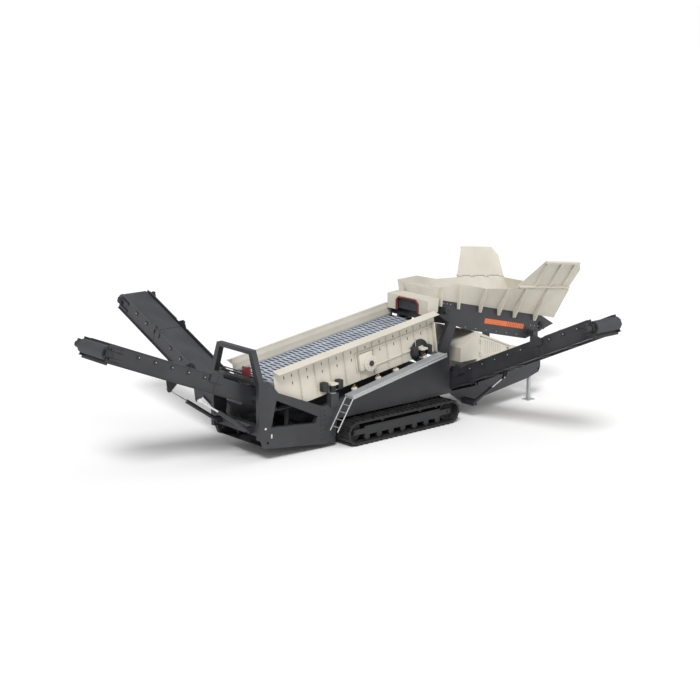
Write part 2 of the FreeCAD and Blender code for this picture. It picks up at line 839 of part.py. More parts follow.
def hopper():
    """Flared side walls with ribs, the rear wall and the rods that the wings turn on."""
    parts = []
    for first, second in zip(hopper_stations, hopper_stations[1:]):
        sections = [wall_section(*first), wall_section(*second)]
        parts.append(Part.makeLoft(sections, True, True))
    parts += [hopper_rib(x) for x in hopper_ribs]
    hinge_rod = rod(V(0, 0, 0), V(wing_length(), 0, 0), wing_rod)
    parts.append(place_wing(hinge_rod))
    for along in wing_lugs:
        start = along - 25
        hoop = rod(V(start, 0, 0), V(start + 50, 0, 0), wing_rod + 8)
        parts.append(place_wing(hoop))
        at = wing_point(along)
        parts.append(box(at.x - 20, at.x + 20, at.y - 12, at.y + 12, at.z - wing_hinge_rise - 15, at.z))
    side = fuse(parts)
    rear_x, rim_half, rim_z = hopper_stations[-1]
    low = feeder_top(rear_x - hopper_wall) + seat
    rear = plate_yz([(-hopper_foot, low), (-rim_half, rim_z), (rim_half, rim_z), (hopper_foot, low)],
                    rear_x - hopper_wall, rear_x)
    return fuse([side, mirror_y(side), rear])


def feed_hood():
    """Box round the feeder's head, open towards the screen under an arch."""
    x0, x1, half, wall = hood_front_x, hopper_stations[0][0] - seat, hood_half, hood_wall
    low, high = 2790.0, 3180.0
    jamb, crown = hood_opening, 3130.0
    front = plate_yz([(-half, low), (-half, high), (half, high), (half, low), (jamb, low), (jamb, crown - 80),
                      (jamb - 90, crown), (90 - jamb, crown), (-jamb, crown - 80), (-jamb, low)], x0, x0 + wall)
    side = plate_xz([(x0, low), (x0, high), (x1, high + 30), (x1, 3171), (x1 - 40, 2860), (x0 + 220, low)],
                    -half, -half + wall)
    rim_half, rim_z = hopper_stations[0][1:]
    gate = plate_yz([(-rim_half, rim_z), (rim_half, rim_z), (hopper_foot, 3171), (560, 3171), (560, 3420),
                     (-560, 3420), (-560, 3171), (-hopper_foot, 3171)], x1 - wall, x1)
    lid = plate_xz([(x0, high - 12), (x0, high), (x1, high + 30), (x1, high + 18)], -half, half)
    return fuse([front, side, mirror_y(side), gate, lid])


# Wings, made flat in the XZ plane along their hinge line, then set on the rim

def wing_line():
    (x0, half0, z0), (x1, half1, z1) = hopper_stations[-2:]
    inset = hopper_wall / 2
    return V(x0, inset - half0, z0 + wing_hinge_rise), V(x1, inset - half1, z1 + wing_hinge_rise)


def wing_length():
    base, end = wing_line()
    return (end - base).Length


def wing_axis():
    base, end = wing_line()
    axis = end - base
    axis.normalize()
    return axis


def wing_point(along):
    return wing_line()[0] + wing_axis() * along


def place_wing(shape):
    axis, base = wing_axis(), wing_line()[0]
    up = V(0, -sin(radians(wing_flare)), cos(radians(wing_flare)))
    across = up.cross(axis)
    across.normalize()
    up = axis.cross(across)
    shape = shape.copy()
    shape.Placement = FreeCAD.Placement(FreeCAD.Matrix(
        axis.x, across.x, up.x, base.x, axis.y, across.y, up.y, base.y,
        axis.z, across.z, up.z, base.z, 0, 0, 0, 1))
    return shape


def wing():
    """Near wing: sheet with frame ribs outside, and its knuckles round the hinge rod."""
    length = wing_length()
    low = wing_rod + 20
    outline = [(20, low), (length - 20, low), (length + 30, wing_height * 0.72),
               (length - 170, wing_height), (wing_lean, wing_height)]
    parts = [plate_xz(outline, -wing_thickness / 2, wing_thickness / 2)]
    out, face = -wing_rib_depth, -wing_thickness / 2
    for x in wing_ribs:
        parts.append(box(x, x + 50, out, face, low, wing_height * 0.95))
    parts.append(box(60, length - 40, out, face, low, low + 45))
    parts.append(box(wing_lean + 10, length - 170, out, face, wing_height - 60, wing_height))
    for along in wing_knuckles:
        parts.append(rod(V(along - 40, 0, 0), V(along + 40, 0, 0), wing_rod + 10))
        parts.append(box(along - 40, along + 40, -wing_thickness / 2, wing_thickness / 2, wing_rod, low + 5))
    bore = rod(V(-50, 0, 0), V(length + 50, 0, 0), wing_rod + pin_clearance)
    return place_wing(fuse(parts).cut(bore))


# Power pack under the feeder, with its engine, tanks and doors

def pack_outline(inset):
    return [(2230 + inset, 1420 + inset), (2230 + inset, 1800 - inset), (2880, 2130 - inset * 1.2),
            (4230 - inset, 1560 - inset * 1.2), (4480 - inset, 1500 - inset), (4480 - inset, pack_bottom + inset),
            (2830 + inset, pack_bottom + inset), (2830 + inset, 1420 + inset)]


door_slope = (door_low_z - door_z1) / (door_x1 - door_x0)


def door_outline():
    """Level over the hinge corner, so that the corner turns clear of the sloping head."""
    corner_x = door_x0 + door_level
    corner_z = door_z1 + door_slope * door_level
    return [(door_x0, door_z0), (door_x0, corner_z), (corner_x, corner_z), (door_x1, door_low_z), (door_x1, door_z0)]


def doorway_outline():
    low, head = door_gap, door_gap + door_head_gap
    x0, x1 = door_x0 - low, door_x1 + low
    return [(x0, door_z0 - low), (x0, door_z1 - door_slope * low + head),
            (x1, door_low_z + door_slope * low + head), (x1, door_z0 - low)]


def hinge_place():
    return door_x0 - 4, -pack_half - door_hinge_out


def power_pack():
    half = pack_half
    outer = plate_xz(pack_outline(0), -half, half)
    hollow = plate_xz(pack_outline(pack_wall), -half + pack_wall, half - pack_wall)
    opening = plate_xz(doorway_outline(), -half - 1, half + 1)
    floor = box(2830 + 140, 4480 - 140, -half + 250, half - 250, pack_bottom - 1, pack_bottom + pack_wall + 1)
    shell = outer.cut(hollow).cut(opening).cut(floor)
    hinges = []
    x, y = hinge_place()
    for z in door_hinges:
        hinges.append(rod(V(x, y, z - 60), V(x, y, z + 60), door_pin))
        for low in (z - 60, z + 32):
            hinges.append(rod(V(x, y, low), V(x, y, low + 28), door_pin + 6))
            hinges.append(box(x - 40, x - 4, y, -half + 1, low, low + 28))
    return fuse([shell] + mirrored(fuse(hinges[:5])) + mirrored(fuse(hinges[5:])))


def pack_door():
    """Near door with its ventilation slots and two knuckles."""
    half = pack_half
    door = plate_xz(door_outline(), -half, -half + pack_wall - 5)
    slots = []
    for i in range(louvre_count):
        x = door_x0 + 150 + i * louvre_pitch
        top = door_z1 + (x + louvre_width - door_x0) * door_slope - 50
        slots.append(box(x, x + louvre_width, -half - 1, -half + 12, door_z0 + 60, top))
    door = door.cut(Part.makeCompound(slots))
    x, y = hinge_place()
    parts = [door]
    for z in door_hinges:
        parts.append(rod(V(x, y, z - 30), V(x, y, z + 30), door_pin + 6))
        parts.append(box(x + 4, x + 60, y, -half + 1, z - 30, z + 30))
    door = fuse(parts)
    for z in door_hinges:
        door = door.cut(rod(V(x, y, z - 61), V(x, y, z + 61), door_pin + pin_clearance))
    return door


def engine():
    return box(3000, 4250, -engine_half, engine_half, engine_bottom, 1480)


def tank():
    x0, x1 = 2860, 4480
    return plate_xz([(x0, rear_top(x0) + seat), (x1, rear_top(x1) + seat), (x1, pack_bottom - seat),
                     (x0, pack_bottom - seat)], -side_outer + 5, -600)


def jack_leg():
    half, foot = jack_size / 2, jack_foot / 2
    leg = box(jack_x - half, jack_x + half, -jack_y - half, -jack_y + half, jack_foot_thickness, 1060)
    pad = box(jack_x - foot, jack_x + foot, -jack_y - foot, -jack_y + foot, 0, jack_foot_thickness)
    return fuse([leg, pad])


# Conveyors in place

tail = Conveyor(tail_hinge_x, 0, tail_hinge_z, 180, tail_incline)
near = Conveyor(near_x, near_hinge_y, near_hinge_z, -90, near_incline)
far = Conveyor(far_x, far_hinge_y, far_hinge_z, 90, far_incline)
fines = Conveyor(fines_x, 0, fines_z, 0, fines_incline)


def tail_foot():
    """Held between the front frame's side plates by four ears."""
    parts = [section_frame(tail_half, -tail_foot_length, 0, ("foot",), lug_out=True)]
    for along in (-1250, -1600):
        parts += mirrored(box(along, along + 90, -side_inner + seat, -tail_half, -300, -200))
    return tail.put(fuse(parts))


def near_foot():
    """Saddled on the near side plate and held against the belly box."""
    frame = near.put(section_frame(near_half, -near_foot_length, 0, ("foot",), lug_out=True))
    side, lip = near_half - boom_plate, near_half + lip_width
    saddle_z = 740 + seat
    parts = [frame]
    for x0, x1 in ((near_x - lip, near_x - side), (near_x + side, near_x + lip)):
        parts.append(box(x0, x1, -960, -860, saddle_z, 830))
    parts.append(box(belly_rear_x + seat, near_x - side, 20, 160, 400, 540))
    return fuse(parts)


def far_foot():
    """Saddled in the front frame's gate, with two legs on the belly panel."""
    frame = far.put(section_frame(far_half, -far_foot_length, 0, ("foot",), lug_out=True))
    side, lip = far_half - boom_plate, far_half + lip_width
    parts = [frame]
    for x0, x1 in ((far_x - lip, far_x - side), (far_x + side, far_x + lip)):
        parts.append(box(x0, x1, 860, 960, gate_low + seat, 600))
        parts.append(box(x0, x1, 430, 510, front_bottom(x0) + belly_panel_top + seat, 470))
    return fuse(parts)


def inner_frames():
    solids = [tail_foot(), near_foot(), far_foot()]
    frame = section_frame(fines_half, 0, fines_length, ("foot", "head"), depth=fines_depth, radius=fines_drum)
    legs = []
    for x in fines_legs:
        under = fines_z - fines_depth + (x - fines_x) * tan(radians(fines_incline)) + 8
        legs += mirrored(box(x, x + 80, -fines_half, -fines_half + 60, belly_top + seat, under))
    solids.append(fuse([fines.put(frame)] + legs))
    return solids


def inner_belts():
    groups = [tail.put(s) for s in section_belt(tail_half, -tail_foot_length, 0, ("foot",))]
    groups += [near.put(s) for s in section_belt(near_half, -near_foot_length, 0, ("foot",))]
    groups += [far.put(s) for s in section_belt(far_half, -far_foot_length, 0, ("foot",))]
    groups += [fines.put(s) for s in section_belt(fines_half, 0, fines_length, ("foot", "head"), fines_drum)]
    return groups


def fines_edge(x):
    return fines_z + (x - fines_x) * tan(radians(fines_incline))


def chutes():
    """Cross chute from the lower deck to the far conveyor, and the sloping plates over the fines belt."""
    x0, x1, y0, y1 = -3880, -3400, -845, 320
    z0, z1 = 1200, 790
    floor = plate_yz([(y0, z0), (y1, z1), (y1, z1 - plate), (y0, z0 - plate)], x0, x1)
    cheeks = [plate_yz([(y0, z0 - plate), (y0, z0 + 60), (y1, z1 + 60), (y1, z1 - plate)], x, x + plate)
              for x in (x0, x1 - plate)]
    legs = []
    for x in (x0, x1 - plate):
        legs.append(box(x, x + plate, -700, -560, front_bottom(x) + belly_panel_top + seat, 1110))
    cross = fuse([floor] + cheeks + legs)
    plates = []
    inner, outer = fines_half + 15, side_inner - seat

    def section(x):
        top, low = chassis_top(x) - 30, fines_edge(x) + 25
        points = [V(x, -outer, top), V(x, -inner, low), V(x, -inner, low - plate), V(x, -outer, top - plate)]
        return Part.makePolygon(points + [points[0]])

    slope = Part.makeLoft([section(-2500), section(1650)], True, True)
    plates += mirrored(slope)
    return [cross] + plates


# Pins and eyes of the lifting cylinders

def tail_pins():
    return [(V(tail_base_x, side * tail_pin_y, tail_base_z), V(tail_eye_x, side * tail_pin_y, tail_eye_z))
            for side in (-1, 1)]


def near_pins():
    return V(near_x, near_base_y, near_base_z), near.point(side_eye_along, 0, side_eye_up)


def far_pins():
    return V(far_x, far_base_y, far_base_z), far.point(side_eye_along, 0, side_eye_up)


def tail_eye_place():
    """Distance along the boom and height over its edge of the tail cylinders' eyes."""
    a = radians(tail_incline)
    run, rise = tail_hinge_x - tail_eye_x, tail_eye_z - tail_hinge_z
    return run * cos(a) + rise * sin(a), rise * cos(a) - run * sin(a)


def tail_boom():
    frame = section_frame(tail_half, 0, tail_length, ("head",), lug_in=True)
    along, up = tail_eye_place()
    outer = tail_half + lip_width
    bracket = eye_bracket(-outer, -outer + lug_plate, along, up, along - 170, along + 190, boom_depth - 5)
    stub = rod(V(along, -tail_pin_y + eye_width / 2 + seat, up), V(along, -outer, up), eye_pin)
    return tail.put(fuse([frame] + mirrored(bracket) + mirrored(stub)))


def side_boom(line, half, fold):
    """Lower boom with the lugs for its cylinder's eye under the middle."""
    frame = section_frame(half, 0, fold, (), lug_in=True, lug_out=True)
    along, up = side_eye_along, side_eye_up
    beam = box(along + 120, along + 200, -half, half, -boom_depth, -boom_depth + 45)
    inner = eye_width / 2 + seat
    lug = eye_bracket(-inner - lug_plate, -inner, along, up, along + 125, along + 195, boom_depth - 5)
    top = plate_xz([(along + 30, up + 45), (along + 120, -boom_depth + 45), (along + 120, -boom_depth),
                    (along + 30, up)], -inner - lug_plate, -inner)
    return line.put(fuse([frame, beam] + mirrored(lug) + mirrored(top)))


inner_names = ("tail_conveyor_foot", "near_conveyor_foot", "far_conveyor_foot", "fines_conveyor")


def build():
    add("chassis", chassis())
    add("front_frame", front_frame())
    loop = track_loop()
    frame = track_frame()
    add("near_track_loop", loop)
    add("far_track_loop", mirror_y(loop))
    add("near_track_frame", frame)
    add("far_track_frame", mirror_y(frame))
    add("screen_box", screen_box())
    add("screen_top_deck", screen_deck(0, 0, screen_length - 80))
    add("screen_lower_deck", screen_deck(lower_deck_drop, lower_deck_front, screen_length - 80))
    add("screen_springs", *springs())
    add("vibrator_guards", *vibrator_guards())
    add("chutes", *chutes())
    walk = walkway()
    add("near_walkway", walk)
    add("far_walkway", mirror_y(walk))
    add("feeder_frame", feeder_frame())
    add("feeder_belt", feeder_belt())
    add("feeder_legs", *feeder_legs())
    add("hopper_walls", hopper())
    add("feed_hood", feed_hood())
    side_wing = wing()
    add("near_hopper_wing", side_wing)
    add("far_hopper_wing", mirror_y(side_wing))
    add("power_pack", power_pack())
    door = pack_door()
    add("near_pack_door", door)
    add("far_pack_door", mirror_y(door))
    add("engine_block", engine())
    add("tanks", *mirrored(tank()))
    leg = jack_leg()
    add("near_jack_leg", leg)
    add("far_jack_leg", mirror_y(leg))
    for name, frame in zip(inner_names, inner_frames()):
        add(name, frame)
    add("inner_conveyor_belts", *inner_belts())
    add("tail_boom", tail_boom())
    add("tail_belt", *[tail.put(s) for s in section_belt(tail_half, 0, tail_length, ("head",))])
    for name, line, half, fold, length, pins in (
            ("near", near, near_half, near_lower_length, near_length, near_pins()),
            ("far", far, far_half, far_lower_length, far_length, far_pins())):
        add(name + "_boom_lower", side_boom(line, half, fold))
        add(name + "_belt_lower", *[line.put(s) for s in section_belt(half, 0, fold)])
        add(name + "_boom_upper", line.put(section_frame(half, fold, length, ("head",), lug_in=True)))
        add(name + "_belt_upper", *[line.put(s) for s in section_belt(half, fold, length, ("head",))])
        barrel, piston = cylinder(pins[0], pins[1], X_AXIS, side_barrel, side_rod)
        add(name + "_barrel", barrel)
        add(name + "_rod", piston)
    both = [cylinder(base, eye, Y_AXIS, tail_barrel, tail_rod) for base, eye in tail_pins()]
    add("tail_barrels", *[barrel for barrel, piston in both])
    add("tail_rods", *[piston for barrel, piston in both])


build()

whole = Part.makeCompound(list(pieces.values())).BoundBox
shift = V(-(whole.XMin + whole.XMax) / 2, -(whole.YMin + whole.YMax) / 2, -whole.ZMin)

os.makedirs("parts", exist_ok=True)
for name, shape in pieces.items():
    moved = shape.copy()
    moved.translate(shift)
    moved.exportStep("parts/" + name + ".step")
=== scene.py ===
"""Mobile screening plant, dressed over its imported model."""

from math import cos, pi, radians, sin

import bpy
from mathutils import Matrix, Vector


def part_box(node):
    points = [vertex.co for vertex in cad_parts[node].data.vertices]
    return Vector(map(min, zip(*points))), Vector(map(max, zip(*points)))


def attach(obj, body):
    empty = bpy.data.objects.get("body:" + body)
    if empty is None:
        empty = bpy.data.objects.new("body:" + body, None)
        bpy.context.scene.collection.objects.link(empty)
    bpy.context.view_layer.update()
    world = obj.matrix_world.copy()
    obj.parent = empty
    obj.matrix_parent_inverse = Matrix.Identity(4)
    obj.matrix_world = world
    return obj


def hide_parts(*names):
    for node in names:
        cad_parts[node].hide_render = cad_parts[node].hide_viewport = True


bl_info = {
    "name": "Mobile screening plant",
    "version": (1, 0, 0),
    "blender": (4, 5, 0),
    "location": "View3D > Sidebar > Screening plant",
    "description": "Adds finishes and fittings to a mobile screening plant",
    "category": "Object",
}

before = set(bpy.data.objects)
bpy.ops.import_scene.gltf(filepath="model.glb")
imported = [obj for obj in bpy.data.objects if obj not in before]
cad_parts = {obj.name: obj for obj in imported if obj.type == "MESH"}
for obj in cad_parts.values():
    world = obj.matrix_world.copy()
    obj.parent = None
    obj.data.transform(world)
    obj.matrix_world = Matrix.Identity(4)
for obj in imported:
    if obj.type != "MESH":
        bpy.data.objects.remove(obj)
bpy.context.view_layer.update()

MACHINE = "machine"
TRACK_MID = -0.15            # machine coordinates before the model was centred
track_low, track_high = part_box("near_track_loop")
far_low, far_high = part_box("far_track_loop")
SHIFT = Vector(((track_low.x + track_high.x) / 2 - TRACK_MID, (track_low.y + far_high.y) / 2, 0))


def at(x, y, z):
    """Point in machine coordinates, before the model was centred."""
    return Vector((x, y, z)) + SHIFT


# Settings

class PaintSettings(bpy.types.PropertyGroup):
    """Colours of the paints and the bare materials."""
    charcoal: bpy.props.FloatVectorProperty(
        name="Charcoal", description="Paint of chassis, feeder and conveyors", subtype="COLOR",
        size=3, min=0, max=1, default=(0.021, 0.0215, 0.0255))
    beige: bpy.props.FloatVectorProperty(
        name="Beige", description="Paint of screen, hopper and power pack", subtype="COLOR",
        size=3, min=0, max=1, default=(0.62, 0.585, 0.50))
    stripe: bpy.props.FloatVectorProperty(
        name="Stripe", description="Stripe on the feeder's side", subtype="COLOR",
        size=3, min=0, max=1, default=(0.72, 0.15, 0.035))
    mesh: bpy.props.FloatVectorProperty(
        name="Screen media", description="Steel of the screen's surface", subtype="COLOR",
        size=3, min=0, max=1, default=(0.58, 0.64, 0.74))
    rubber: bpy.props.FloatVectorProperty(
        name="Belt rubber", description="Rubber of the belts", subtype="COLOR",
        size=3, min=0, max=1, default=(0.034, 0.036, 0.041))


class ScreenSettings(bpy.types.PropertyGroup):
    """The screen's surface and sides."""
    finger_pitch: bpy.props.FloatProperty(
        name="Finger pitch", description="From one cross finger to the next", unit="LENGTH",
        min=0.03, max=0.3, default=0.13)
    finger_width: bpy.props.FloatProperty(
        name="Finger width", description="Width of a cross finger", unit="LENGTH",
        min=0.01, max=0.2, default=0.066)
    columns: bpy.props.IntProperty(
        name="Columns", description="Panels across the deck", min=1, max=12, default=5)
    bolt_pitch: bpy.props.FloatProperty(
        name="Bolt pitch", description="From bolt to bolt down a stiffener", unit="LENGTH",
        min=0.05, max=0.5, default=0.11)


class ConveyorSettings(bpy.types.PropertyGroup):
    """Fittings of the booms."""
    bracket_pitch: bpy.props.FloatProperty(
        name="Bracket pitch", description="From one side bracket to the next", unit="LENGTH",
        min=0.1, max=2, default=0.48)


class TrackSettings(bpy.types.PropertyGroup):
    """Track shoes and wheels."""
    wheel_bolts: bpy.props.IntProperty(
        name="Wheel bolts", description="Bolts round a track wheel's hub", min=3, max=24, default=10)


def settings(group):
    return getattr(bpy.context.scene, group)


# Materials

def new_material(name):
    found = bpy.data.materials.get(name)
    if found:
        return found, None, None
    material = bpy.data.materials.new(name)
    material.use_nodes = True
    tree = material.node_tree
    return material, tree, tree.nodes["Principled BSDF"]


def object_noise(tree, scale, detail=3.0):
    where = tree.nodes.new("ShaderNodeTexCoord")
    noise = tree.nodes.new("ShaderNodeTexNoise")
    noise.inputs["Scale"].default_value = scale
    noise.inputs["Detail"].default_value = detail
    tree.links.new(where.outputs["Object"], noise.inputs["Vector"])
    return noise


def ranged(tree, source, low, high, floor=0.35, ceiling=0.65):
    node = tree.nodes.new("ShaderNodeMapRange")
    node.inputs["From Min"].default_value = floor
    node.inputs["From Max"].default_value = ceiling
    node.inputs["To Min"].default_value = low
    node.inputs["To Max"].default_value = high
    tree.links.new(source, node.inputs["Value"])
    return node.outputs["Result"]


def mixed(tree, factor, first, second):
    node = tree.nodes.new("ShaderNodeMix")
    node.data_type = "RGBA"
    node.inputs[6].default_value = (*first, 1)
    node.inputs[7].default_value = (*second, 1)
    tree.links.new(factor, node.inputs[0])
    return node.outputs[2]


def bumped(tree, shader, height, strength, distance):
    node = tree.nodes.new("ShaderNodeBump")
    node.inputs["Strength"].default_value = strength
    node.inputs["Distance"].default_value = distance
    tree.links.new(height, node.inputs["Height"])
    tree.links.new(node.outputs["Normal"], shader.inputs["Normal"])


def worked_surface(name, colour, second, patch, roughness, metallic=0.0, grain=180.0, bump=0.15):
    """A finish with slow patches of colour, a varying gloss and a fine grain."""
    material, tree, shader = new_material(name)
    if tree is None:
        return material
    patches = object_noise(tree, patch, 5.0)
    fine = object_noise(tree, grain, 2.0)
    tree.links.new(mixed(tree, ranged(tree, patches.outputs["Fac"], 0.0, 1.0), colour, second),
                   shader.inputs["Base Color"])
    tree.links.new(ranged(tree, patches.outputs["Fac"], roughness[0], roughness[1]),
                   shader.inputs["Roughness"])
    shader.inputs["Metallic"].default_value = metallic
    bumped(tree, shader, fine.outputs["Fac"], bump, 0.002)
    return material


def shade(colour, factor, lift=0.0):
    return tuple(min(1.0, part * factor + lift) for part in colour)


def charcoal():
    colour = settings("plant_paint").charcoal
    light = shade(colour, 1.25, 0.008)
    return worked_surface("charcoal_paint_finish", colour, light, 1.6, (0.38, 0.52))


# Lighter copies of the charcoal paint, in random patches: a painted highlight on the booms' top rims and on the
# front cover
def charcoal_highlight():
    colour = settings("plant_paint").charcoal
    edge, brighter_highlight = shade(colour, 2.2), shade(colour, 2.8)
    return worked_surface("charcoal_painted_highlight_finish", edge, brighter_highlight, 2.5, (0.35, 0.5))


def beige():
    colour = settings("plant_paint").beige
    return worked_surface("beige_paint_finish", colour, shade(colour, 0.9), 1.3, (0.42, 0.58))


def stripe_paint():
    colour = settings("plant_paint").stripe
    return worked_surface("orange_stripe_finish", colour, shade(colour, 0.85), 3.0, (0.35, 0.45))


def track_steel():
    return worked_surface("track_steel_finish", (0.012, 0.012, 0.013), (0.028, 0.027, 0.026), 5.0,
                          (0.5, 0.75), metallic=0.3, bump=0.3)


def dark_steel():
    return worked_surface("dark_steel_finish", (0.02, 0.021, 0.023), (0.035, 0.035, 0.036), 6.0, (0.45, 0.65),
                          metallic=0.2)


# Near-black painted shadow: stands in for the shade between the top deck's fingers and inside the slots of the
# screen's sides
def shadow_black():
    return worked_surface("painted_shadow_finish", (0.006, 0.006, 0.007), (0.012, 0.012, 0.013), 4.0, (0.8, 0.95))


def belt_rubber():
    colour = settings("plant_paint").rubber
    return worked_surface("belt_rubber_finish", colour, shade(colour, 1.5), 2.0, (0.6, 0.8),
                          grain=90.0, bump=0.35)


def screen_steel():
    colour = settings("plant_paint").mesh
    return worked_surface("screen_media_finish", colour, shade(colour, 0.72), 3.5, (0.32, 0.5), metallic=0.35)


def galvanised():
    material, tree, shader = new_material("galvanised_finish")
    if tree is None:
        return material
    where = tree.nodes.new("ShaderNodeTexCoord")
    spangle = tree.nodes.new("ShaderNodeTexVoronoi")
    spangle.inputs["Scale"].default_value = 38.0
    tree.links.new(where.outputs["Object"], spangle.inputs["Vector"])
    tree.links.new(mixed(tree, ranged(tree, spangle.outputs["Distance"], 0, 1, 0.0, 0.8),
                         (0.56, 0.57, 0.57), (0.40, 0.41, 0.42)), shader.inputs["Base Color"])
    gloss = ranged(tree, spangle.outputs["Distance"], 0.35, 0.55, 0.0, 0.8)
    tree.links.new(gloss, shader.inputs["Roughness"])
    shader.inputs["Metallic"].default_value = 0.55
    return material


def chrome():
    return worked_surface("rod_chrome_finish", (0.72, 0.72, 0.73), (0.62, 0.62, 0.64), 8.0, (0.12, 0.22),
                          metallic=0.9, bump=0.02)


def brass():
    return worked_surface("brass_finish", (0.45, 0.30, 0.11), (0.36, 0.23, 0.08), 12.0, (0.3, 0.5),
                          metallic=0.7)


def red_rubber():
    return worked_surface("red_rubber_finish", (0.20, 0.022, 0.02), (0.13, 0.015, 0.014), 6.0, (0.5, 0.7))


def white_label():
    return worked_surface("pale_fitting_finish", (0.62, 0.62, 0.60), (0.52, 0.52, 0.50), 6.0, (0.4, 0.55))


# Modelling helpers

def clear_selection():
    if bpy.context.object and bpy.context.object.mode != "OBJECT":
        bpy.ops.object.mode_set(mode="OBJECT")
    bpy.ops.object.select_all(action="DESELECT")


def pick(objects):
    clear_selection()
    for obj in objects:
        obj.select_set(True)
    bpy.context.view_layer.objects.active = objects[0]


def softened(obj, width, segments=2):
    """Bevels an object's sharp edges for good."""
    if width > 0:
        pick([obj])
        bevel = obj.modifiers.new("edges", "BEVEL")
        bevel.width = width
        bevel.segments = segments
        bevel.limit_method = "ANGLE"
        bpy.ops.object.modifier_apply(modifier=bevel.name)
    return obj


def block(size, place, bevel=0.004, turn=(0, 0, 0), finish=None, segments=2):
    """Box of a size round a place, with softened edges."""
    clear_selection()
    bpy.ops.mesh.primitive_cube_add(size=1, location=place, rotation=turn)
    obj = bpy.context.object
    obj.scale = size
    bpy.ops.object.transform_apply(location=False, rotation=False, scale=True)
    softened(obj, bevel, segments)
    if finish:
        obj.data.materials.append(finish)
    return obj


def bar(radius, start, end, bevel=0.002, finish=None, sides=20):
    """Round bar from one point to another."""
    start, end = Vector(start), Vector(end)
    along = end - start
    clear_selection()
    bpy.ops.mesh.primitive_cylinder_add(vertices=sides, radius=radius, depth=along.length,
                                        location=(start + end) / 2,
                                        rotation=along.to_track_quat("Z", "Y").to_euler())
    obj = bpy.context.object
    softened(obj, bevel, 1)
    if finish:
        obj.data.materials.append(finish)
    return obj


def copies(obj, offsets):
    """The object and a copy of it, with its own mesh, at each further offset."""
    made = [obj]
    home = obj.matrix_world.copy()
    for offset in offsets[1:]:
        twin = obj.copy()
        twin.data = obj.data.copy()
        bpy.context.collection.objects.link(twin)
        twin.matrix_world = Matrix.Translation(Vector(offset)) @ home
        made.append(twin)
    obj.matrix_world = Matrix.Translation(Vector(offsets[0])) @ home
    return made


def moved(objects, matrix):
    for obj in objects:
        obj.matrix_world = matrix @ obj.matrix_world
    return objects


def ring_of(bolt, radius, count):
    """The bolt at the top of an upright ring, and its copies round the ring."""
    offsets = []
    for k in range(count):
        turn = 2 * pi * k / count
        offsets.append((radius * sin(turn), 0, radius * (cos(turn) - 1)))
    return copies(bolt, offsets)


def mirrored(objects, matrix=None):
    """The objects and their mirror images over the plane y = 0 of the given frame."""
    made = list(objects)
    flip = Matrix.Scale(-1, 4, (0, 1, 0))
    if matrix:
        flip = matrix @ flip @ matrix.inverted()
    for obj in objects:
        twin = obj.copy()
        twin.data = obj.data.copy()
        bpy.context.collection.objects.link(twin)
        bpy.context.view_layer.update()
        twin.data.transform(obj.matrix_world)
        twin.matrix_world = Matrix.Identity(4)
        twin.data.transform(flip)
        twin.data.flip_normals()
        made.append(twin)
    return made


def piece(name, parts, body, smooth=35):
    """Joins parts to one piece that rides on a body."""
    bpy.context.view_layer.update()
    pick(parts)
    if len(parts) > 1:
        bpy.ops.object.join()
    obj = bpy.context.object
    obj.name = obj.data.name = name
    bpy.ops.object.transform_apply(location=True, rotation=True, scale=True)
    bpy.ops.object.shade_smooth_by_angle(angle=radians(smooth))
    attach(obj, body)
    return obj


def dress(nodes, material):
    for name in nodes:
        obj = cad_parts[name]
        obj.data.materials.clear()
        obj.data.materials.append(material)


CENTRE = Matrix.Translation(SHIFT)


def conveyor_frame(x, y, z, heading, incline):
    """From along, across and up on a conveyor to the model."""
    return (CENTRE @ Matrix.Translation((x, y, z)) @ Matrix.Rotation(radians(heading), 4, "Z")
            @ Matrix.Rotation(-radians(incline), 4, "Y"))


def tilted_frame(x, z, angle):
    """From a level piece that is tilted about its front corner to the model."""
    return CENTRE @ Matrix.Translation((x, 0, z)) @ Matrix.Rotation(radians(angle), 4, "Y")


# front ends as x and z, tilts in degrees
SCREEN_FRONT, SCREEN_TILT = (-3.9, 1.82), 8.4
FEEDER_FRONT, FEEDER_TILT = (1.48, 3.17), 13.6
WALK_FRONT, WALK_TILT = (-1.9, 1.28), 10.6
WALK_LENGTH = 3.16 / cos(radians(WALK_TILT))
SCREEN = tilted_frame(*SCREEN_FRONT, -SCREEN_TILT)
FEEDER = tilted_frame(*FEEDER_FRONT, FEEDER_TILT)
WALK = tilted_frame(*WALK_FRONT, -WALK_TILT)
# hinge as x, y and z, heading and incline in degrees
TAIL = conveyor_frame(-5.35, 0, 2.204, 180, 22.5)
NEAR = conveyor_frame(2.25, -1.2, 1.38, -90, 24.5)
FAR = conveyor_frame(-3.6, 1.15, 1.125, 90, 24)


def screen_place(along, up):
    """Machine coordinates x and z of a point along the screen's deck and up from it."""
    angle = radians(SCREEN_TILT)
    x, z = SCREEN_FRONT
    return x + along * cos(angle) - up * sin(angle), z + along * sin(angle) + up * cos(angle)


# Operators

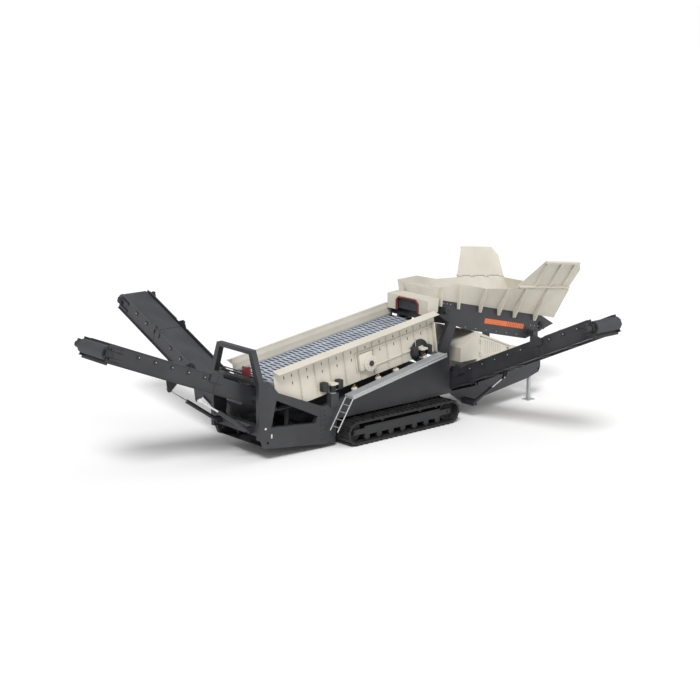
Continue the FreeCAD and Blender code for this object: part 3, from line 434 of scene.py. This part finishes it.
class PLANT_OT_finishes(bpy.types.Operator):
    """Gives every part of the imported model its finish."""
    bl_idname = "plant.finishes"
    bl_label = "Finishes"

    def execute(self, context):
        dress(("chassis", "front_frame", "feeder_frame", "feeder_legs", "tail_conveyor_foot",
               "near_conveyor_foot", "far_conveyor_foot", "fines_conveyor",
               "tail_boom", "near_boom_lower", "near_boom_upper", "far_boom_lower", "far_boom_upper",
               "near_barrel", "far_barrel", "tail_barrels", "chutes"), charcoal())
        dress(("screen_box", "vibrator_guards", "hopper_walls", "feed_hood", "near_hopper_wing",
               "far_hopper_wing", "power_pack", "near_pack_door", "far_pack_door", "tanks"), beige())
        dress(("near_track_loop", "far_track_loop"), track_steel())
        dress(("near_track_frame", "far_track_frame", "engine_block"), dark_steel())
        dress(("feeder_belt", "inner_conveyor_belts", "tail_belt", "near_belt_lower", "near_belt_upper",
               "far_belt_lower", "far_belt_upper"), belt_rubber())
        dress(("near_walkway", "far_walkway", "near_jack_leg", "far_jack_leg"), galvanised())
        dress(("near_rod", "far_rod", "tail_rods"), chrome())
        # the top deck is painted near-black as painted shade in the gaps between the cross fingers
        dress(("screen_top_deck",), shadow_black())
        dress(("screen_lower_deck",), screen_steel())
        return {"FINISHED"}


DECK_HALF = 0.795
DECK_FROM = 0.02
DECK_TO = 5.2
FINGER_HEIGHT = 0.016


class PLANT_OT_screen_media(bpy.types.Operator):
    """Lays the cross fingers of the top deck, its side strips and its front lip."""
    bl_idname = "plant.screen_media"
    bl_label = "Screen media"

    def execute(self, context):
        sizes = settings("plant_screen")
        steel = screen_steel()
        column = 2 * DECK_HALF / sizes.columns
        reach = column * 0.86
        finger = block((sizes.finger_width, reach, FINGER_HEIGHT), (0, 0, 0), 0.004, finish=steel, segments=1)
        rows = int((DECK_TO - DECK_FROM) / sizes.finger_pitch)
        places = []
        for row in range(rows):
            for place in range(sizes.columns):
                shift = sizes.finger_pitch / 2 if place % 2 else 0
                places.append((DECK_FROM + (row + 0.5) * sizes.finger_pitch + shift,
                               -DECK_HALF + (place + 0.5) * column, FINGER_HEIGHT / 2))
        fingers = copies(finger, places)
        strips = []
        for edge in (-1, 1):
            place = (DECK_TO / 2, edge * (DECK_HALF - 0.024), 0.027)
            strips.append(block((DECK_TO, 0.05, 0.05), place, 0.006, finish=galvanised()))
        spine = block((DECK_TO, 0.03, 0.024), (DECK_TO / 2, 0, 0.012), 0.004, finish=steel)
        seams = copies(spine, [(0, -DECK_HALF + k * column, 0) for k in range(1, sizes.columns)])
        lip = block((0.03, 2 * DECK_HALF, 0.09), (0.012, 0, -0.02), 0.006, finish=galvanised())
        piece("top_deck_fingers", moved(fingers + seams, SCREEN), MACHINE)
        piece("top_deck_strips", moved(strips + [lip], SCREEN), MACHINE)
        return {"FINISHED"}


SIDE_Y = -0.814              # outer face of the near side plate
SLOT_COLUMNS = 21
SLOT_PITCH = 0.235
SLOT_FROM = 0.30
SLOT_ROWS = (0.07, -0.13)
RIB_FROM, RIB_PITCH, RIB_COUNT = 0.52, 0.47, 10
EAVE_EDGE = (-1.029, 0.27)   # across and up
EAVE_ROOT = (-0.829, 0.325)
SCREEN_LENGTH = 5.26


class PLANT_OT_screen_sides(bpy.types.Operator):
    """Adds slots drawn as near-black painted shade, stiffening rails, panels and bolts to the screen's sides."""
    bl_idname = "plant.screen_sides"
    bl_label = "Screen sides"

    def execute(self, context):
        dark, paint = shadow_black(), beige()
        # each slot is a thin near-black plate on the side face, painted shadow for the shade inside the opening
        slot_piece = block((0.022, 0.006, 0.075), (0, SIDE_Y - 0.001, 0), 0.002, finish=dark, segments=1)
        rows = []
        for column in range(SLOT_COLUMNS):
            along = SLOT_FROM + column * SLOT_PITCH
            for up in SLOT_ROWS:
                if along < 0.5 and up < -0.1:
                    continue
                rows.append((along, 0, up))
        near_slots = moved(copies(slot_piece, rows), SCREEN)
        piece("screen_side_slots", mirrored(near_slots, CENTRE), MACHINE)

        rails = [
            block((2.62, 0.035, 0.03), (3.86, SIDE_Y - 0.0175, -0.02), 0.006, finish=paint),
            block((2.10, 0.035, 0.03), (3.72, SIDE_Y - 0.0175, -0.47), 0.006,
                  turn=(0, radians(-1.0), 0), finish=paint),
            block((0.035, 0.035, 0.46), (2.54, SIDE_Y - 0.0175, -0.25), 0.006, finish=paint),
            block((0.42, 0.10, 0.42), (2.80, SIDE_Y - 0.05, -0.26), 0.015, finish=paint),
            block((0.03, 0.12, 0.80), (5.16, SIDE_Y - 0.06, -0.33), 0.006, finish=paint),
        ]
        piece("screen_side_rails", mirrored(moved(rails, SCREEN), CENTRE), MACHINE)

        trim = [bar(0.012, (0.0, *EAVE_EDGE), (SCREEN_LENGTH, *EAVE_EDGE), finish=paint),
                bar(0.010, (0.0, *EAVE_ROOT), (SCREEN_LENGTH, *EAVE_ROOT), finish=paint)]
        piece("screen_eave_trim", mirrored(moved(trim, SCREEN), CENTRE), MACHINE)

        bolt = bar(0.013, (0, SIDE_Y - 0.047, 0), (0, SIDE_Y - 0.033, 0), 0.003, finish=galvanised(), sides=6)
        spots = []
        pitch = settings("plant_screen").bolt_pitch
        for rib in range(RIB_COUNT):
            along = RIB_FROM + RIB_PITCH * (rib + 0.5) + 0.007
            for count in range(int(0.55 / pitch)):
                spots.append((along, 0, -0.10 - pitch * count))
        bolts = moved(copies(bolt, spots), SCREEN)
        piece("screen_side_bolts", mirrored(bolts, CENTRE), MACHINE)
        return {"FINISHED"}


SPRING_ALONG = (1.64, 4.65)
SPRING_UP = -0.5
SPRING_TALL = 0.21
SPRING_Y = 0.94
COIL_TURNS, COIL_PITCH = 6, 0.03
CUP_RADIUS = 0.086
DISC_RADIUS = 0.30


class PLANT_OT_springs(bpy.types.Operator):
    """Winds the coil springs under the screen box, with their cups and buffers."""
    bl_idname = "plant.springs"
    bl_label = "Springs"

    def execute(self, context):
        steel, pale = dark_steel(), galvanised()
        coils, cups = [], []
        for along in SPRING_ALONG:
            x, top = screen_place(along, SPRING_UP)
            low = top - SPRING_TALL
            for k in range(COIL_TURNS):
                clear_selection()
                bpy.ops.mesh.primitive_torus_add(
                    major_radius=0.064, minor_radius=0.013, major_segments=28, minor_segments=8,
                    location=(x, -SPRING_Y, low + (k + 1) * COIL_PITCH), rotation=(0, radians(4), 0))
                ring = bpy.context.object
                ring.data.materials.append(steel)
                coils.append(ring)
            cups.append(bar(CUP_RADIUS, (x, -SPRING_Y, low), (x, -SPRING_Y, low + 0.02), 0.004, pale, 28))
            cups.append(bar(CUP_RADIUS, (x, -SPRING_Y, top - 0.02), (x, -SPRING_Y, top), 0.004, pale, 28))
            cups.append(bar(0.034, (x, -SPRING_Y, low + 0.02), (x, -SPRING_Y, top - 0.03), 0.003, steel, 20))
        coils = mirrored(moved(coils, CENTRE), CENTRE)
        cups = mirrored(moved(cups, CENTRE), CENTRE)
        springs = piece("coil_springs", coils + cups, MACHINE)
        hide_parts("screen_springs")

        buffers = []
        for along in SPRING_ALONG:
            x, top = screen_place(along, SPRING_UP)
            for side in (-1, 1):
                place = (x + side * 0.235, -0.90, top - 0.03)
                buffers.append(block((0.17, 0.17, 0.24), place, 0.03, finish=steel))
        buffers.append(bar(DISC_RADIUS, (x, -0.845, top - 0.05), (x, -0.817, top - 0.05), 0.01, steel, 48))
        piece("spring_buffers", mirrored(moved(buffers, CENTRE), CENTRE), MACHINE)
        return {"FINISHED"}


VIBRATOR = (2.9, -0.33)      # along and up
COVER_FACE = SIDE_Y - 0.1503
COVER_BOLTS, COVER_RING = 8, 0.13


class PLANT_OT_vibrator(bpy.types.Operator):
    """Bolts the covers of the vibrator shaft to its guards."""
    bl_idname = "plant.vibrator"
    bl_label = "Vibrator covers"

    def execute(self, context):
        x, z = screen_place(*VIBRATOR)
        face = COVER_FACE
        parts = [bar(0.16, (x, face - 0.012, z), (x, face, z), 0.004, beige(), 40),
                 bar(0.07, (x, face - 0.045, z), (x, face - 0.012, z), 0.006, dark_steel(), 32)]
        top = z + COVER_RING
        bolt = bar(0.011, (x, face - 0.026, top), (x, face - 0.012, top), 0.002, galvanised(), 6)
        parts += ring_of(bolt, COVER_RING, COVER_BOLTS)
        piece("vibrator_covers", mirrored(moved(parts, CENTRE), CENTRE), MACHINE)
        return {"FINISHED"}


FEEDER_FACE = -0.72          # outer face of the near side plate
STRIPE_UP, STRIPE_HEIGHT = -0.362, 0.135
SLASH_FROM, SLASH_PITCH, SLASH_COUNT = 2.81, 0.066, 10
ARCH = ((-0.41, 2.80), (-0.41, 3.05), (-0.32, 3.13), (0.32, 3.13), (0.41, 3.05), (0.41, 2.80))
DRUM_ENDS = ((0.27, -0.25), (4.13, -0.26))


class PLANT_OT_feeder(bpy.types.Operator):
    """Paints the stripe on the feeder's sides, and lines the hood's arch with rubber."""
    bl_idname = "plant.feeder"
    bl_label = "Feeder and hood"

    def execute(self, context):
        paint = stripe_paint()
        level = FEEDER_FACE - 0.0015
        tall = STRIPE_HEIGHT
        bars = [block((0.88, 0.003, tall), (2.33, level, STRIPE_UP), 0.001, finish=paint, segments=1)]
        slash = block((0.052, 0.003, tall), (0, level, STRIPE_UP), 0.001, finish=paint, segments=1)
        bars += copies(slash, [(SLASH_FROM + k * SLASH_PITCH, 0, 0) for k in range(SLASH_COUNT)])
        piece("orange_stripe", mirrored(moved(bars, FEEDER), CENTRE), MACHINE)

        rubber = red_rubber()
        lining = []
        for first, second in zip(ARCH, ARCH[1:]):
            lining.append(bar(0.026, (1.10, *first), (1.10, *second), 0.004, rubber, 14))
        flap = block((0.012, 0.80, 0.20), (1.155, 0, 3.03), 0.004, finish=belt_rubber())
        strips = []
        for k in range(8):
            place = (1.158, -0.35 + k * 0.1, 2.91)
            strips.append(block((0.010, 0.092, 0.16), place, 0.003, finish=belt_rubber()))
        piece("hood_arch_lining", moved(lining + [flap] + strips, CENTRE), MACHINE)

        bolt = bar(0.014, (0, FEEDER_FACE - 0.015, 0), (0, FEEDER_FACE, 0), 0.003, galvanised(), 6)
        spots = [(0.12 + 0.13 * k, 0, -0.07) for k in range(4)]
        spots += [(1.2 + 0.4 * k, 0, -0.60) for k in range(6)]
        spots += [(3.7 + 0.15 * k, 0, -0.30) for k in range(4)]
        piece("feeder_bolts", mirrored(moved(copies(bolt, spots), FEEDER), CENTRE), MACHINE)

        ends = []
        for along, up in DRUM_ENDS:
            ends.append(block((0.20, 0.05, 0.20), (along, -0.745, up), 0.015, finish=dark_steel()))
            ends.append(bar(0.055, (along, -0.80, up), (along, -0.77, up), 0.006, dark_steel(), 24))
        along, up = DRUM_ENDS[0]
        ends.append(bar(0.09, (along, -0.93, up), (along, -0.80, up), 0.01, dark_steel(), 28))
        piece("feeder_drive", mirrored(moved(ends, FEEDER), CENTRE), MACHINE)
        return {"FINISHED"}


BOOMS = (
    # name, frame, half width, lengths with idlers and their bodies, whole length, the head's body
    ("tail", TAIL, 0.54, ((0.35, 2.75, "tail_boom_body"),), 3.23, "tail_boom_body"),
    ("near", NEAR, 0.45, ((0.45, 2.6, "near_boom_lower_body"), (3.4, 4.6, "near_boom_upper_body")),
     4.98, "near_boom_upper_body"),
    ("far", FAR, 0.41, ((0.45, 2.75, "far_boom_lower_body"), (3.55, 4.6, "far_boom_upper_body")),
     4.98, "far_boom_upper_body"),
)
IDLER_UP = -0.105
DRUM_UP = -0.2123
DRUM_INSET = 0.162           # from the boom's end to its head drum


class PLANT_OT_boom_fittings(bpy.types.Operator):
    """Adds idler ends, head drum bearings, drive motors, scrapers and rims to the conveyors."""
    bl_idname = "plant.boom_fittings"
    bl_label = "Conveyor fittings"

    def execute(self, context):
        pitch = settings("plant_conveyors").bracket_pitch
        steel, pale, paint = dark_steel(), galvanised(), charcoal()
        for name, place, half, spans, length, head in BOOMS:
            for number, (start, end, body) in enumerate(spans):
                plate_piece = block((0.10, 0.012, 0.09), (0, -half - 0.006, IDLER_UP), 0.003, finish=steel)
                nut = bar(0.016, (0, -half - 0.03, IDLER_UP), (0, -half - 0.012, IDLER_UP), 0.003, pale, 6)
                count = int((end - start) / pitch)
                spots = [(start + k * pitch, 0, 0) for k in range(count + 1)]
                parts = copies(plate_piece, spots) + copies(nut, spots)
                middle = ((start + end) / 2, -half - 0.004, 0.004)
                # the rim takes the lighter charcoal as a painted highlight along the boom's top edge
                rim = block((end - start + 0.3, 0.03, 0.012), middle, 0.003, finish=charcoal_highlight())
                parts.append(rim)
                piece(f"{name}_boom_idlers_{number + 1}", moved(mirrored(parts), place), body)
            drum, up = length - DRUM_INSET, DRUM_UP
            bearing = [block((0.19, 0.05, 0.15), (drum, -half - 0.03, up), 0.012, finish=steel),
                       bar(0.06, (drum, -half - 0.078, up), (drum, -half - 0.055, up), 0.008, steel, 24),
                       block((0.34, 0.03, 0.05), (drum - 0.2, -half - 0.02, up + 0.11), 0.006, finish=paint),
                       block((0.34, 0.03, 0.05), (drum - 0.2, -half - 0.02, up - 0.11), 0.006, finish=paint)]
            parts = mirrored(bearing)
            parts.append(bar(0.075, (drum, -half - 0.25, up), (drum, -half - 0.078, up), 0.012, steel, 28))
            parts.append(block((0.07, 0.09, 0.08), (drum, -half - 0.19, up + 0.09), 0.01, finish=steel))
            scraper = (drum - 0.05, 0, up - 0.215)
            parts.append(block((0.03, 2 * half - 0.05, 0.10), scraper, 0.006, finish=steel))
            piece(f"{name}_head_drive", moved(parts, place), head)
        return {"FINISHED"}


WALK_Y = -1.1925             # middle of the near walkway
SLAT_PITCH = 0.05
BEARER_FROM, BEARER_PITCH, BEARER_COUNT = -1.05, 0.095, 4
GREASE_ALONG = (0.35, 1.15, 1.75, 2.75)


class PLANT_OT_walkways(bpy.types.Operator):
    """Lays grating on the walkways and puts toe boards along them."""
    bl_idname = "plant.walkways"
    bl_label = "Walkways"

    def execute(self, context):
        pale = galvanised()
        length = WALK_LENGTH
        slat = block((0.012, 0.285, 0.010), (0, WALK_Y, 0.004), 0.002, finish=pale, segments=1)
        count = int((length - 0.08) / SLAT_PITCH)
        parts = copies(slat, [(0.04 + k * SLAT_PITCH, 0, 0) for k in range(count)])
        bearer = block((length, 0.012, 0.014), (length / 2, 0, 0.006), 0.002, finish=pale, segments=1)
        parts += copies(bearer, [(0, BEARER_FROM - k * BEARER_PITCH, 0) for k in range(BEARER_COUNT)])
        parts.append(block((length, 0.014, 0.06), (length / 2, -1.338, 0.005), 0.003, finish=pale))
        piece("walkway_grating", mirrored(moved(parts, WALK), CENTRE), MACHINE)
        boxes = []
        for along in GREASE_ALONG:
            boxes.append(block((0.13, 0.09, 0.075), (along, -1.0, 0.02), 0.012, finish=white_label()))
            for x, radius, top, bevel in ((along + 0.02, 0.022, 0.12, 0.005), (along - 0.035, 0.016, 0.10, 0.004)):
                boxes.append(bar(radius, (x, -1.0, 0.057), (x, -1.0, top), bevel, brass(), 14))
        piece("grease_fittings", mirrored(moved(boxes, WALK), CENTRE), MACHINE)
        return {"FINISHED"}


WHEEL_REACH = 1.58           # from the track's middle to the wheels at its ends
WHEEL_Z = 0.32
WHEEL_FACE = -1.155
HUB_RING = 0.13


class PLANT_OT_tracks(bpy.types.Operator):
    """Adds hub covers and their bolts to the tracks."""
    bl_idname = "plant.tracks"
    bl_label = "Tracks"

    def execute(self, context):
        steel = track_steel()
        parts = []
        for x in (TRACK_MID - WHEEL_REACH, TRACK_MID + WHEEL_REACH):
            cover, hub = WHEEL_FACE - 0.03, WHEEL_FACE - 0.06
            parts.append(bar(0.17, (x, cover, WHEEL_Z), (x, WHEEL_FACE, WHEEL_Z), 0.01, steel, 40))
            parts.append(bar(0.085, (x, hub, WHEEL_Z), (x, cover, WHEEL_Z), 0.012, steel, 32))
            top = WHEEL_Z + HUB_RING
            bolt = bar(0.013, (x, cover - 0.012, top), (x, cover, top), 0.003, steel, 6)
            parts += ring_of(bolt, HUB_RING, settings("plant_tracks").wheel_bolts)
        piece("track_hubs", mirrored(moved(parts, CENTRE), CENTRE), MACHINE)
        return {"FINISHED"}


FRAME_FACE = -0.97           # outer face of the near side plate
SEAM_COLUMNS = (-2.60, -2.48)
SEAM_FROM, SEAM_PITCH, SEAM_COUNT = 0.25, 0.12, 7


class PLANT_OT_front(bpy.types.Operator):
    """Fits a red box, pipes, a cover, markers and seam bolts to the front frame."""
    bl_idname = "plant.front"
    bl_label = "Front fittings"

    def execute(self, context):
        steel, pale = dark_steel(), white_label()
        parts = [
            block((0.05, 0.30, 0.22), (-4.36, -0.33, 2.12), 0.012, finish=red_rubber()),
            bar(0.022, (-4.31, -0.62, 2.0), (-4.31, 0.62, 2.0), 0.004, steel),
            bar(0.016, (-4.31, -0.62, 2.06), (-4.31, 0.62, 2.06), 0.003, steel),
            # the cover takes the lighter charcoal as a painted highlight
            block((0.014, 0.60, 0.36), (-4.487, 0, 1.50), 0.004, finish=charcoal_highlight()),
        ]
        piece("gantry_panel", moved(parts, CENTRE), MACHINE)
        spots = [
            bar(0.028, (-4.30, FRAME_FACE - 0.015, 0.83), (-4.30, FRAME_FACE, 0.83), 0.004, pale, 20),
            block((0.04, 0.014, 0.10), (-4.12, -0.975, 0.62), 0.004, finish=pale),
        ]
        piece("side_markers", mirrored(moved(spots, CENTRE), CENTRE), MACHINE)
        bolt = bar(0.016, (0, FRAME_FACE - 0.014, 0), (0, FRAME_FACE, 0), 0.003, steel, 6)
        rows = [(x, 0, SEAM_FROM + SEAM_PITCH * k) for x in SEAM_COLUMNS for k in range(SEAM_COUNT)]
        piece("seam_bolts", mirrored(moved(copies(bolt, rows), CENTRE), CENTRE), MACHINE)
        return {"FINISHED"}


COVER_FROM, COVER_PITCH, COVER_COUNT = 3.15, 0.18, 6
HANDLE_X, HANDLE_LOW, HANDLE_HIGH = 3.98, 1.47, 1.56


class PLANT_OT_power_pack(bpy.types.Operator):
    """Dresses the engine and puts handles on the doors."""
    bl_idname = "plant.power_pack"
    bl_label = "Power pack"

    def execute(self, context):
        steel, pale = dark_steel(), galvanised()
        parts = []
        for k in range(COVER_COUNT):
            place = (COVER_FROM + COVER_PITCH * k, 0, 1.51)
            parts.append(block((0.15, 0.30, 0.07), place, 0.012, finish=steel))
        parts.append(bar(0.06, (3.05, -0.25, 1.53), (4.20, -0.25, 1.53), 0.01, steel, 20))
        parts.append(bar(0.05, (3.10, 0.28, 1.53), (4.15, 0.28, 1.53), 0.01, steel, 20))
        parts.append(bar(0.09, (3.5, -0.47, 1.30), (3.8, -0.47, 1.30), 0.02, pale, 24))
        parts.append(bar(0.06, (3.3, -0.45, 1.22), (3.3, -0.45, 1.44), 0.01, pale, 20))
        parts.append(bar(0.11, (2.94, 0, 1.32), (3.0, 0, 1.32), 0.01, steel, 28))
        piece("engine_fittings", moved(parts, CENTRE), MACHINE)
        for side, sign in (("near", -1), ("far", 1)):
            grip, foot = sign * 0.885, sign * 0.868
            low, high = (HANDLE_X, grip, HANDLE_LOW), (HANDLE_X, grip, HANDLE_HIGH)
            handle = [bar(0.009, low, high, 0.002, steel, 12),
                      block((0.03, 0.04, 0.02), (HANDLE_X, foot, HANDLE_LOW), 0.004, finish=steel),
                      block((0.03, 0.04, 0.02), (HANDLE_X, foot, HANDLE_HIGH), 0.004, finish=steel)]
            piece(f"{side}_door_handle", moved(handle, CENTRE), f"{side}_door_body")
        return {"FINISHED"}


LIGHTS = (
    # name, strength, softness in degrees, direction that it shines
    ("key", 2.3, 18.0, (0.62, 0.62, -0.95)),
    ("fill", 0.7, 60.0, (-0.8, 0.5, -0.5)),
)
CAMERA_PLACE = at(-26.444, -29.927, 11.113)
CAMERA_AIM = Vector((0.6335, 0.7406, -0.2240))
CAMERA_LENS = 82.3


class PLANT_OT_stage(bpy.types.Operator):
    """Sets up the floor, the light and the camera."""
    bl_idname = "plant.stage"
    bl_label = "Stage"

    def execute(self, context):
        scene = context.scene
        scene.view_settings.view_transform = "Standard"
        clear_selection()
        bpy.ops.mesh.primitive_plane_add(size=400, location=(0, 0, -0.001))
        floor = context.object
        floor.name = "floor"
        material, tree, shader = new_material("pale_floor")
        if tree:
            shader.inputs["Base Color"].default_value = (0.93, 0.93, 0.93, 1)
            shader.inputs["Roughness"].default_value = 0.9
        floor.data.materials.append(material)

        world = bpy.data.worlds.new("studio")
        scene.world = world
        world.use_nodes = True
        tree = world.node_tree
        tree.nodes.clear()
        out = tree.nodes.new("ShaderNodeOutputWorld")
        soft, plain = tree.nodes.new("ShaderNodeBackground"), tree.nodes.new("ShaderNodeBackground")
        soft.inputs["Color"].default_value = (1, 1, 1, 1)
        soft.inputs["Strength"].default_value = 0.55
        plain.inputs["Color"].default_value = (1, 1, 1, 1)
        plain.inputs["Strength"].default_value = 1.0
        path = tree.nodes.new("ShaderNodeLightPath")
        mix = tree.nodes.new("ShaderNodeMixShader")
        tree.links.new(path.outputs["Is Camera Ray"], mix.inputs[0])
        tree.links.new(soft.outputs[0], mix.inputs[1])
        tree.links.new(plain.outputs[0], mix.inputs[2])
        tree.links.new(mix.outputs[0], out.inputs["Surface"])

        for name, strength, softness, way in LIGHTS:
            lamp = bpy.data.lights.new(name, "SUN")
            lamp.energy = strength
            lamp.angle = radians(softness)
            holder = bpy.data.objects.new(name, lamp)
            holder.rotation_euler = Vector(way).to_track_quat("-Z", "Y").to_euler()
            scene.collection.objects.link(holder)

        lens = bpy.data.cameras.new("camera")
        lens.lens = CAMERA_LENS
        lens.clip_end = 500
        holder = bpy.data.objects.new("camera", lens)
        holder.location = CAMERA_PLACE
        holder.rotation_euler = CAMERA_AIM.to_track_quat("-Z", "Y").to_euler()
        scene.collection.objects.link(holder)
        scene.camera = holder
        return {"FINISHED"}


STEPS = ("finishes", "screen_media", "screen_sides", "springs", "vibrator", "feeder", "boom_fittings",
         "walkways", "tracks", "front", "power_pack", "stage")


class PLANT_PT_panel(bpy.types.Panel):
    """Lists the steps that dress the plant."""
    bl_idname = "PLANT_PT_panel"
    bl_label = "Screening plant"
    bl_space_type = "VIEW_3D"
    bl_region_type = "UI"
    bl_category = "Screening plant"

    def draw(self, context):
        for group in GROUPS:
            box = self.layout.box()
            values = getattr(context.scene, group)
            for name in values.bl_rna.properties.keys():
                if name not in ("rna_type", "name"):
                    box.prop(values, name)
        for step in STEPS:
            self.layout.operator(f"plant.{step}")


GROUPS = {"plant_paint": PaintSettings, "plant_screen": ScreenSettings,
          "plant_conveyors": ConveyorSettings, "plant_tracks": TrackSettings}
CLASSES = (PaintSettings, ScreenSettings, ConveyorSettings, TrackSettings,
           PLANT_OT_finishes, PLANT_OT_screen_media, PLANT_OT_screen_sides, PLANT_OT_springs,
           PLANT_OT_vibrator, PLANT_OT_feeder, PLANT_OT_boom_fittings,
           PLANT_OT_walkways, PLANT_OT_tracks, PLANT_OT_front, PLANT_OT_power_pack, PLANT_OT_stage,
           PLANT_PT_panel)


def register():
    for one in CLASSES:
        bpy.utils.register_class(one)
    for name, group in GROUPS.items():
        setattr(bpy.types.Scene, name, bpy.props.PointerProperty(type=group))


def unregister():
    for name in GROUPS:
        delattr(bpy.types.Scene, name)
    for one in reversed(CLASSES):
        bpy.utils.unregister_class(one)


def main():
    register()
    for step in STEPS:
        getattr(bpy.ops.plant, step)()


if __name__ == "__main__":
    main()
